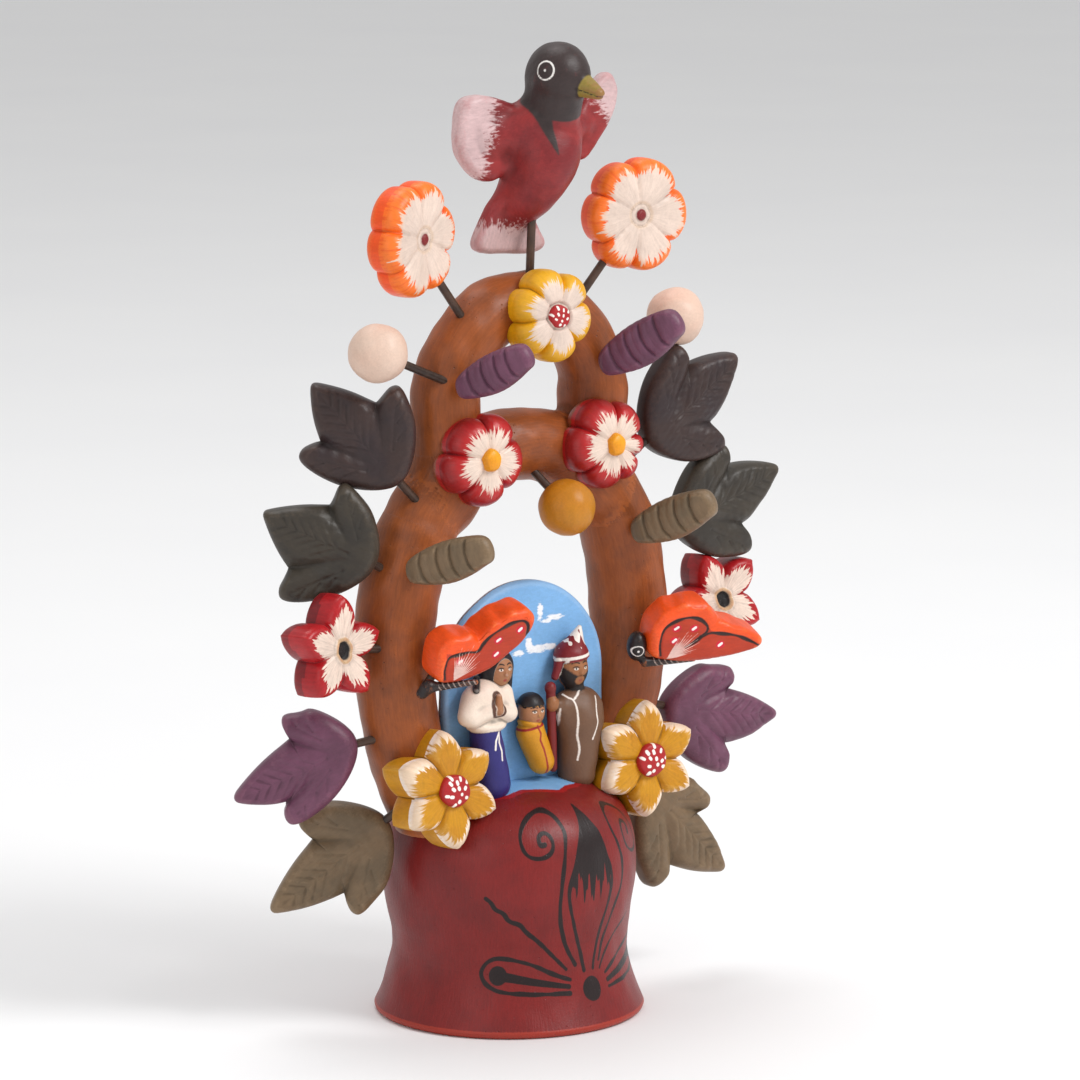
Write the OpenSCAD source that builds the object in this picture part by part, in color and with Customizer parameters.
// Clay tree of life: a hollow clay bell carries two stacked clay arches.
// Flowers, leaves, balls, butterflies and a bird stand on short wires set in the arches.
// Origin: centre of the bell's underside. +Z is up and the tree faces -Y.

/* [Base] */
// Radius of the bell's foot
foot_r = 41.2; // [39:0.1:43]
// Radius of the bell's waist
waist_r = 34.5; // [33:0.1:36]
// Radius of the bell's belly
belly_r = 37.7; // [36.5:0.1:39]
// Height of the bell
base_h = 71; // [70:0.1:72]
// Wall thickness of the bell
wall = 6.5; // [5:0.1:8]

/* [Arches] */
// Radius of the lower arch's centre line at its top
arch_r = 40; // [39:0.1:41]
// Height of the centre of the lower arch's top curve
arch_z = 130.4; // [129.5:0.1:131]
// Thickness radius of the lower arch at its top
arch_t = 11; // [10.5:0.1:11.2]
// Radius of the centre line of the lower arch's legs
leg_r = 90; // [88:0.5:92]
// Thickness radius of the lower arch's legs
leg_t = 11.6; // [11.4:0.1:12]
// Angle from level at which the top curve meets the legs
meet_angle = 21; // [20:0.5:22]
// Radius of the upper arch's centre line
loop_r = 27; // [26:0.1:28]
// Thickness radius of the upper arch at its top
loop_t = 10; // [9.5:0.1:10.2]
// Thickness radius of the upper arch's legs
post_t = 10.4; // [10.3:0.1:10.8]
// Height of the centre of the upper arch's curve
loop_z = 185; // [184:0.1:186]
// Sideways lean of both arches, in degrees
lean = 2; // [1.5:0.1:2.5]

/* [Panel] */
// Half the width of the arched panel behind the figures
panel_half = 29.3; // [28:0.1:30]
// Height at which the panel's round top begins
panel_z = 101; // [99:0.1:103]
// Thickness of the panel
panel_t = 4.2; // [3.5:0.1:5]
// How far the panel's front face stands before the arch's middle
panel_front = 6.8; // [6:0.1:7.5]

/* [Ornaments] */
// Diameter of the wires
wire_d = 2.5; // [2:0.1:3]
// Thickness of a large leaf
leaf_t = 8; // [7.5:0.1:9]
// Thickness of a small leaf
small_leaf_t = 5; // [4.5:0.1:6]
// Width of a small leaf
small_leaf_w = 12.5; // [11.5:0.1:13.5]
// Diameter of a pale ball
ball_d = 17.6; // [16:0.1:18]
// Diameter of the mustard ball
mustard_d = 17; // [16:0.1:18]
// Thickness of the wired star flowers
star_t = 11; // [10:0.1:12]
// Thickness of a butterfly
butterfly_t = 11.5; // [10:0.1:12]

/* [Hidden] */
$fn = 64;

// Colours
base_red = "#8c2622";
terracotta = "#8a4a2a";
sky = "#7fb0de";
orange = "#f0561b";
yellow = "#d9a21b";
petal_red = "#b0201f";
cream = "#e6cdc0";
mustard = "#c9851f";
leaf_brown = "#3a2a28";
leaf_green = "#3b3a30";
leaf_purple = "#6e4257";
leaf_olive = "#7c6849";
butterfly_orange = "#e2501c";
bird_red = "#7b2427";
wire_black = "#3a2b26";

// Bell outline
waist_z = 22.5;
belly_z = 45;
edge_z = 3;
flare_power = 1.6;
shoulder_power = 2.8;
side_steps = 8;
// Height about which the arches lean
lean_z = 70;
// Angle below level at which each leg ends, inside the bell
foot_angle = 36;
// Centre of each leg's curve, which meets the top curve smoothly
leg_x = (leg_r - arch_r) * cos(meet_angle);
leg_z = arch_z - (leg_r - arch_r) * sin(meet_angle);
// Height at which the upper arch's legs end, inside the lower arch
loop_foot_z = 158;

// Where each ornament stands: [position, yaw, spin, pitch].
// Yaw turns its front about Z, spin turns it in its own plane and pitch tilts its front up.
at_orange_left = [[-37.8, -4, 235.2], 18, 0, 0];
at_orange_right = [[42.3, -5, 236.4], -5, 15, 0];
at_yellow_top = [[4.8, -14.5, 210.2], -4, 10, 4];
at_red_left = [[-19.7, -13.5, 170], -2, 0, 4];
at_red_right = [[25.9, -13.5, 170], 0, 20, 4];
at_star_left = [[-69, -6.8, 118.5], 8, 15, 4];
at_star_right = [[76, -1.5, 115.8], 0, 42, 4];
at_yellow_left = [[-36.3, -16, 74.2], 0, 40, 6];
at_yellow_right = [[36.3, -16, 73.8], -2, 25, 6];
at_small_purple_left = [[-27, -12, 190.5], -60, 28, 0];
at_small_purple_right = [[25.5, -12, 192.5], -60, 32, 0];
at_small_olive_left = [[-46, -13, 139], -60, 19, 0];
at_small_olive_right = [[36.5, -13, 141.5], -60, 24, 0];
at_brown_left = [[-43.3, -5, 164.6], -35, 131, 0];
at_brown_right = [[47.6, -5, 167.7], 0, 35, 0];
at_green_left = [[-52.4, -5, 141.7], -35, 155, 0];
at_green_right = [[59.5, -4, 140.4], 0, 20, 0];
at_purple_left = [[-55.7, 0, 88], -35, 205, 0];
at_purple_right = [[58.3, 0, 84.2], 0, -10, 0];
at_olive_left = [[-43.6, 1.8, 62.3], -35, 218, 0];
at_olive_right = [[50.7, 0, 59.4], 0, -44, 0];
at_butterfly_left = [[-42.6, -18.5, 109.1], -6, 0, -14];
at_butterfly_right = [[37.3, -18.6, 106.9], -16, 0, -14];

// Radii of the yellow stars
yellow_left_r = 17.5;
yellow_right_r = 17;

// How far a ball's centre lies beyond the end of its wire
ball_reach = 4;

// Wires: [end inside the arch, end inside the ornament]
w_bird = [[6, -2, 213], [6, -4, 246]];
w_orange_left = [[-16.7, -4, 206.4], [-33.9, -4, 229.7]];
w_orange_right = [[21.7, -2.3, 209.6], [39.5, -4.9, 231.6]];
w_ball_left = [[-27.4, -6.5, 192.7], [-48.3, -6.9, 201.7]];
w_ball_right = [[33, -1, 194], [56.5, -2.6, 202.4]];
w_mustard = [[2, -3.7, 166.7], [7, -15, 156]];
w_small_purple_left = [[-24.5, -4, 188.5], [-23.4, -18.2, 194.1]];
w_small_purple_right = [[28.5, -4, 191.5], [28.9, -17.9, 196.8]];
w_small_olive_left = [[-40.5, -4.5, 138.5], [-42.2, -19.6, 141.6]];
w_small_olive_right = [[40, -4.5, 141], [40.2, -19.3, 144.8]];
w_brown_left = [[-34, -5.5, 155], [-48.8, -4.7, 170.4]];
w_brown_right = [[40, -1.4, 160], [53, -7, 173]];
w_green_left = [[-42.8, -2.2, 136.6], [-59.3, -4, 145]];
w_green_right = [[46.8, -1.1, 137.1], [66.4, -4.6, 143.2]];
w_purple_left = [[-45.6, -4.5, 89.8], [-61.9, 4.8, 85.6]];
w_purple_right = [[46, 0, 87.7], [66, 0, 82.4]];
w_olive_left = [[-38.6, -5.7, 70], [-49.1, 5.8, 57.8]];
w_olive_right = [[37.3, 0, 67.2], [57, 0, 54.5]];
w_star_left = [[-45.5, -5, 115.4], [-64, -6.2, 118]];
w_star_right = [[49.6, -0.7, 115.8], [71, -1.6, 115.8]];
w_butterfly_left = [[-39.6, -5, 96.5], [-40, -18.5, 111]];
w_butterfly_right = [[44.5, -4, 104.5], [46.5, -20.5, 111]];

// Radius of the bell's outside at a height
function bell_r(z) =
    z < waist_z ? waist_r + (foot_r - waist_r) * pow((waist_z - z) / waist_z, flare_power)
    : z < belly_z ? belly_r - (belly_r - waist_r) * pow((belly_z - z) / (belly_z - waist_z), 2)
    : belly_r * pow(1 - pow((z - belly_z) / (base_h - belly_z), shoulder_power), 1 / shoulder_power);

// Heights at which the outline is drawn
function foot_steps() = [for (i = [0 : side_steps]) edge_z + (waist_z - edge_z) * i / side_steps];
function belly_steps() = [for (i = [1 : side_steps]) waist_z + (belly_z - waist_z) * i / side_steps];
function shoulder_steps() = [for (i = [1 : side_steps]) belly_z + (base_h - belly_z) * sin(84 * i / side_steps)];
bell_z = concat(foot_steps(), belly_steps(), shoulder_steps());

// Outside of the bell, as a solid
module bell_form() {
    rotate_extrude()
        polygon(concat([[0, 0], [foot_r - 1, 0], [foot_r, 1]], [for (z = bell_z) [bell_r(z), z]], [[0, base_h]]));
}

// Space inside the bell, open underneath
module bell_space() {
    rotate_extrude()
        polygon(concat(
            [[0, -1], [bell_r(0) - wall, -1]],
            [for (z = [0 : 6 : base_h - 3 * wall]) [bell_r(z) - wall, z]],
            [[bell_r(belly_z) - 2.4 * wall, base_h - 1.6 * wall], [0, base_h - 1.2 * wall]]
        ));
}

// Leans its children sideways, about the top of the bell
module leaning() {
    translate([0, 0, lean_z])
        rotate([0, lean, 0])
            translate([0, 0, -lean_z])
                children();
}

// Upright bow: a length of round tube bent about a level axis, between two angles from level
module bow(ring_r, tube_r, from, to) {
    rotate([90, 0, 0])
        rotate([0, 0, from])
            rotate_extrude(angle = to - from)
                translate([ring_r, 0])
                    circle(r = tube_r);
}

// The lower arch before its feet are cut to the bell
module lower_arch_form() {
    leaning() {
        translate([0, 0, arch_z])
            bow(arch_r, arch_t, meet_angle, 180 - meet_angle);
        translate([-leg_x, 0, leg_z])
            bow(leg_r, leg_t, -foot_angle, meet_angle);
        translate([leg_x, 0, leg_z])
            bow(leg_r, leg_t, 180 - meet_angle, 180 + foot_angle);
    }
}

// The upper arch before its feet are cut to the lower arch
module upper_arch_form() {
    leaning() {
        translate([0, 0, loop_z])
            bow(loop_r, loop_t, 0, 180);
        for (side = [-1, 1])
            translate([side * loop_r, 0, loop_foot_z])
                cylinder(r = post_t, h = loop_z - loop_foot_z);
    }
}

// Stands a shape, drawn flat with its front up, at its place with its front outwards
module stand(place) {
    translate(place[0])
        rotate([0, 0, place[1]])
            rotate([90 - place[3], 0, 0])
                rotate([0, 0, place[2]])
                    children();
}

// Pointed oval from the origin along X
module pointed_oval(length, width) {
    arc_r = (length * length / 4 + width * width / 4) / width;
    intersection() {
        translate([length / 2, arc_r - width / 2])
            circle(r = arc_r);
        translate([length / 2, width / 2 - arc_r])
            circle(r = arc_r);
    }
}

// Flat flower with round petals: a full layer and a slightly smaller face
module round_flower(petals, radius, thickness) {
    petal_r = radius * 0.42;
    for (layer = [[1, 0.7], [0.86, 1]])
        linear_extrude(thickness * layer[1])
            scale(layer[0])
                union() {
                    circle(r = radius * 0.6);
                    for (i = [0 : petals - 1])
                        rotate(360 * i / petals)
                            translate([radius - petal_r, 0])
                                circle(r = petal_r);
                }
}

// Flat star flower with pointed petals
module star_flower(petals, radius, thickness, petal_w) {
    linear_extrude(thickness) {
        circle(r = radius * 0.45);
        for (i = [0 : petals - 1])
            rotate(360 * i / petals)
                pointed_oval(radius, petal_w);
    }
}

// Leaf with three lobes, its stem end at the origin and its tip along X
module large_leaf(place, wire, length) {
    lobe_angle = 37;
    stem_r = 6;
    difference() {
        stand(place)
            translate([0, 0, -leaf_t / 2])
                linear_extrude(leaf_t) {
                    pointed_oval(length, length * 0.56);
                    for (side = [-1, 1])
                        rotate(side * lobe_angle)
                            pointed_oval(length * 0.72, length * 0.27);
                    translate([stem_r - 1, 0])
                        circle(r = stem_r);
                }
        rod(wire);
    }
}

// Narrow leaf, its stem end near the origin and its tip along X
module small_leaf(place, wire, length) {
    difference() {
        stand(place)
            translate([0, 0, -small_leaf_t / 2])
                linear_extrude(small_leaf_t)
                    intersection() {
                        translate([-small_leaf_w * 0.25, 0])
                            pointed_oval(length * 1.16, small_leaf_w);
                        translate([0, -small_leaf_w])
                            square([length, 2 * small_leaf_w]);
                    }
        rod(wire);
    }
}

// Puts its children at the end of a wire, with Z along the wire
module on_wire(ends) {
    span = ends[1] - ends[0];
    translate(ends[1])
        rotate([0, acos(span[2] / norm(span)), atan2(span[1], span[0])])
            children();
}

// Round rod between two points
module rod(ends) {
    on_wire(ends)
        translate([0, 0, -norm(ends[1] - ends[0])])
            cylinder(d = wire_d, h = norm(ends[1] - ends[0]));
}

// Ball threaded on the end of its wire
module ball(diameter, ends) {
    on_wire(ends)
        translate([0, 0, ball_reach])
            rotate_extrude()
                difference() {
                    circle(d = diameter);
                    translate([-diameter, -diameter])
                        square([diameter, 2 * diameter]);
                    translate([-1, -diameter])
                        square([1 + wire_d / 2, diameter - ball_reach]);
                }
}

// Butterfly with closed wings: its body lies along X from the head and the wings stand above it
module butterfly(place, wire, wing) {
    difference() {
        stand(place)
            translate([0, 0, -butterfly_t / 2])
                linear_extrude(butterfly_t)
                    polygon(wing);
        rod(wire);
    }
}

// Outlines of wing and body: the left one raises its large wing, the right one spreads both
raised_wing = [[-4, -3.5], [12, -3.5], [12, 0.7], [18.5, 3.4], [25.5, 9.5], [29.5, 13.5], [31, 17],
               [28, 20.3], [23, 20], [17, 16], [13, 14], [8, 14], [0, 12.5], [0, 2], [-4, 2]];
spread_wing = [[-4, -3.5], [12, -3.5], [12.8, -2.2], [24, -1.5], [33, 0.2], [35.5, 2], [34, 3.6],
               [26, 7.5], [20, 8.6], [19.8, 12.5], [17, 15.6], [13.5, 16.6], [8.4, 16], [2.5, 13.5],
               [-0.5, 10.8], [-0.9, 2], [-4, 2]];

// Ball stretched along its own axes
module oval(centre, radii, turn = [0, 0, 0]) {
    translate(centre)
        rotate(turn)
            scale(radii)
                sphere(r = 1);
}

module base() {
    color(base_red)
        difference() {
            bell_form();
            bell_space();
        }
}

module lower_arch() {
    color(terracotta)
        difference() {
            lower_arch_form();
            bell_form();
            for (wire = [w_mustard, w_small_olive_left, w_small_olive_right, w_brown_left, w_brown_right,
                         w_green_left, w_green_right, w_purple_left, w_purple_right, w_olive_left,
                         w_olive_right, w_star_left, w_star_right, w_butterfly_left, w_butterfly_right])
                rod(wire);
        }
}

module upper_arch() {
    color(terracotta)
        difference() {
            upper_arch_form();
            lower_arch_form();
            for (wire = [w_bird, w_orange_left, w_orange_right, w_ball_left, w_ball_right,
                         w_small_purple_left, w_small_purple_right])
                rod(wire);
        }
}

// The panel before it is cut to the bell and the arch
module panel_form() {
    translate([1, -panel_front + panel_t, 0])
        rotate([90, 0, 0])
            linear_extrude(panel_t) {
                translate([-panel_half, base_h - 7])
                    square([2 * panel_half, panel_z - base_h + 7]);
                translate([0, panel_z])
                    circle(r = panel_half);
            }
}

module scene_panel() {
    color(sky)
        difference() {
            panel_form();
            bell_form();
            lower_arch_form();
        }
}

// Figure pressed against the panel, the bell and the arch
module pressed_figure() {
    difference() {
        union()
            children();
        bell_form();
        lower_arch_form();
        panel_form();
        yellow_star_form(at_yellow_left, yellow_left_r);
        yellow_star_form(at_yellow_right, yellow_right_r);
    }
}

module woman() {
    color(cream)
        pressed_figure() {
            translate([-17.5, -13, base_h - 9])
                cylinder(r1 = 7.4, r2 = 4.8, h = 27);
            oval([-17, -11.5, 95.5], [8.2, 5.8, 9]);
            oval([-13.3, -11.5, 105.4], [4.6, 4.8, 6.4]);
        }
}

// The man's staff, standing on the bell beside the baby
module staff() {
    translate([6, -12.5, base_h - 6])
        cylinder(r = 1.5, h = 34.5);
}

module man() {
    color("#6e4f3c")
        pressed_figure() {
            translate([17.6, -11.5, base_h - 9])
                cylinder(r1 = 6.2, r2 = 7.4, h = 28);
            oval([17.2, -11.5, 90], [6.4, 5.4, 9.5]);
            oval([14.4, -11.5, 104], [5, 5, 6.4]);
            translate([15.2, -11.3, 106])
                rotate([0, 9, 0])
                    cylinder(r1 = 5.4, r2 = 0.8, h = 10.2);
            staff();
            oval([9.6, -12.5, 87], [4.4, 2.6, 2.6]);
        }
}

module baby() {
    color(mustard)
        difference() {
            pressed_figure() {
                translate([5.6, -10.8, 75.5])
                    rotate([0, -26, 0])
                        cylinder(r1 = 3.9, r2 = 4.2, h = 13);
                oval([5.6, -10.8, 75.5], [3.9, 3.9, 4]);
                oval([0, -11, 91.2], [4.1, 4.2, 5]);
            }
            staff();
        }
}

module bird() {
    color(bird_red)
        difference() {
            union() {
                oval([9, -5, 257], [11.6, 11, 17.5], [-12, 13, 0]);
                oval([10.4, -10.5, 280], [9.2, 9.8, 9.8]);
                oval([10, -8, 270], [8.2, 8, 9]);
                translate([11.2, -17, 278])
                    rotate([98, 0, 10])
                        cylinder(r1 = 4.2, r2 = 0.8, h = 11);
                translate([-8, -1.5, 262])
                    rotate([90, 12, 16])
                        scale([0.9, 1.15, 1])
                            cylinder(r = 11.5, h = 5, center = true);
                translate([28, -1.5, 264.5])
                    rotate([90, -26, -16])
                        scale([0.8, 1.25, 1])
                            cylinder(r = 10.5, h = 5, center = true);
                translate([2, 1.5, 236.5])
                    rotate([75, 8, 0])
                        scale([1, 1.05, 1])
                            cylinder(r = 10.5, h = 5, center = true);
            }
            rod(w_bird);
        }
}

module orange_flower(place, wire) {
    color(orange)
        difference() {
            stand(place)
                translate([0, 0, -5])
                    round_flower(6, 16.2, 10);
            rod(wire);
        }
}

module orange_flower_left() {
    orange_flower(at_orange_left, w_orange_left);
}

module orange_flower_right() {
    orange_flower(at_orange_right, w_orange_right);
}

// Flower pressed on the arches: its back follows the clay behind it
module pressed_flower(place, behind) {
    difference() {
        stand(place)
            translate([0, 0, -behind])
                children();
        lower_arch_form();
        upper_arch_form();
    }
}

module yellow_flower_top() {
    color(yellow)
        pressed_flower(at_yellow_top, 8)
            round_flower(6, 12.8, 12);
}

module red_flower_left() {
    color(petal_red)
        pressed_flower(at_red_left, 8)
            round_flower(6, 13.2, 12);
}

module red_flower_right() {
    color(petal_red)
        pressed_flower(at_red_right, 8)
            round_flower(6, 13, 12);
}

// Yellow star at the foot of the lower arch, before its back is cut to the clay behind it
module yellow_star_form(place, radius) {
    stand(place)
        translate([0, 0, -8])
            star_flower(6, radius, 14, 12.5);
}

module yellow_star(place, radius) {
    color(mustard)
        difference() {
            yellow_star_form(place, radius);
            bell_form();
            lower_arch_form();
            panel_form();
        }
}

module yellow_star_left() {
    yellow_star(at_yellow_left, yellow_left_r);
}

module yellow_star_right() {
    yellow_star(at_yellow_right, yellow_right_r);
}

module yellow_flower_centres() {
    color(petal_red) {
        stand(at_yellow_top)
            translate([0, 0, 4])
                cylinder(r1 = 3.6, r2 = 3, h = 1);
        for (place = [at_yellow_left, at_yellow_right])
            stand(place)
                translate([0, 0, 6])
                    cylinder(r1 = 4.6, r2 = 4, h = 1.2);
    }
}

module red_flower_centres() {
    color(yellow)
        for (place = [at_red_left, at_red_right])
            stand(place)
                translate([0, 0, 4])
                    cylinder(r1 = 3.4, r2 = 2.8, h = 1.4);
}

module red_star(place, wire) {
    color(petal_red)
        difference() {
            stand(place)
                translate([0, 0, -star_t / 2])
                    star_flower(5, 15.6, star_t, 13);
            rod(wire);
        }
}

module red_star_left() {
    red_star(at_star_left, w_star_left);
}

module red_star_right() {
    red_star(at_star_right, w_star_right);
}

module pale_ball_left() {
    color(cream)
        ball(ball_d, w_ball_left);
}

module pale_ball_right() {
    color(cream)
        ball(ball_d, w_ball_right);
}

module mustard_ball() {
    color(mustard)
        ball(mustard_d, w_mustard);
}

module small_purple_leaf_left() {
    color(leaf_purple)
        small_leaf(at_small_purple_left, w_small_purple_left, 25.5);
}

module small_purple_leaf_right() {
    color(leaf_purple)
        small_leaf(at_small_purple_right, w_small_purple_right, 29);
}

module small_olive_leaf_left() {
    color(leaf_olive)
        small_leaf(at_small_olive_left, w_small_olive_left, 27.5);
}

module small_olive_leaf_right() {
    color(leaf_olive)
        small_leaf(at_small_olive_right, w_small_olive_right, 28);
}

module brown_leaf_left() {
    color(leaf_brown)
        large_leaf(at_brown_left, w_brown_left, 38);
}

module brown_leaf_right() {
    color(leaf_brown)
        large_leaf(at_brown_right, w_brown_right, 40);
}

module green_leaf_left() {
    color(leaf_green)
        large_leaf(at_green_left, w_green_left, 35);
}

module green_leaf_right() {
    color(leaf_green)
        large_leaf(at_green_right, w_green_right, 41);
}

module purple_leaf_left() {
    color(leaf_purple)
        large_leaf(at_purple_left, w_purple_left, 39);
}

module purple_leaf_right() {
    color(leaf_purple)
        large_leaf(at_purple_right, w_purple_right, 43);
}

module olive_leaf_left() {
    color(leaf_olive)
        large_leaf(at_olive_left, w_olive_left, 43);
}

module olive_leaf_right() {
    color(leaf_olive)
        large_leaf(at_olive_right, w_olive_right, 42);
}

module butterfly_left() {
    color(butterfly_orange)
        butterfly(at_butterfly_left, w_butterfly_left, raised_wing);
}

module butterfly_right() {
    color(butterfly_orange)
        butterfly(at_butterfly_right, w_butterfly_right, spread_wing);
}

module wire(ends) {
    color(wire_black)
        rod(ends);
}

module wire_bird() {
    wire(w_bird);
}

module wire_orange_left() {
    wire(w_orange_left);
}

module wire_orange_right() {
    wire(w_orange_right);
}

module wire_ball_left() {
    wire(w_ball_left);
}

module wire_ball_right() {
    wire(w_ball_right);
}

module wire_mustard() {
    wire(w_mustard);
}

module wire_small_purple_left() {
    wire(w_small_purple_left);
}

module wire_small_purple_right() {
    wire(w_small_purple_right);
}

module wire_small_olive_left() {
    wire(w_small_olive_left);
}

module wire_small_olive_right() {
    wire(w_small_olive_right);
}

module wire_brown_left() {
    wire(w_brown_left);
}

module wire_brown_right() {
    wire(w_brown_right);
}

module wire_green_left() {
    wire(w_green_left);
}

module wire_green_right() {
    wire(w_green_right);
}

module wire_purple_left() {
    wire(w_purple_left);
}

module wire_purple_right() {
    wire(w_purple_right);
}

module wire_olive_left() {
    wire(w_olive_left);
}

module wire_olive_right() {
    wire(w_olive_right);
}

module wire_star_left() {
    wire(w_star_left);
}

module wire_star_right() {
    wire(w_star_right);
}

module wire_butterfly_left() {
    wire(w_butterfly_left);
}

module wire_butterfly_right() {
    wire(w_butterfly_right);
}

base();
lower_arch();
upper_arch();
scene_panel();
woman();
man();
baby();
bird();
orange_flower_left();
orange_flower_right();
yellow_flower_top();
yellow_flower_centres();
red_flower_left();
red_flower_right();
red_flower_centres();
red_star_left();
red_star_right();
yellow_star_left();
yellow_star_right();
pale_ball_left();
pale_ball_right();
mustard_ball();
small_purple_leaf_left();
small_purple_leaf_right();
small_olive_leaf_left();
small_olive_leaf_right();
brown_leaf_left();
brown_leaf_right();
green_leaf_left();
green_leaf_right();
purple_leaf_left();
purple_leaf_right();
olive_leaf_left();
olive_leaf_right();
butterfly_left();
butterfly_right();
wire_bird();
wire_orange_left();
wire_orange_right();
wire_ball_left();
wire_ball_right();
wire_mustard();
wire_small_purple_left();
wire_small_purple_right();
wire_small_olive_left();
wire_small_olive_right();
wire_brown_left();
wire_brown_right();
wire_green_left();
wire_green_right();
wire_purple_left();
wire_purple_right();
wire_olive_left();
wire_olive_right();
wire_star_left();
wire_star_right();
wire_butterfly_left();
wire_butterfly_right();
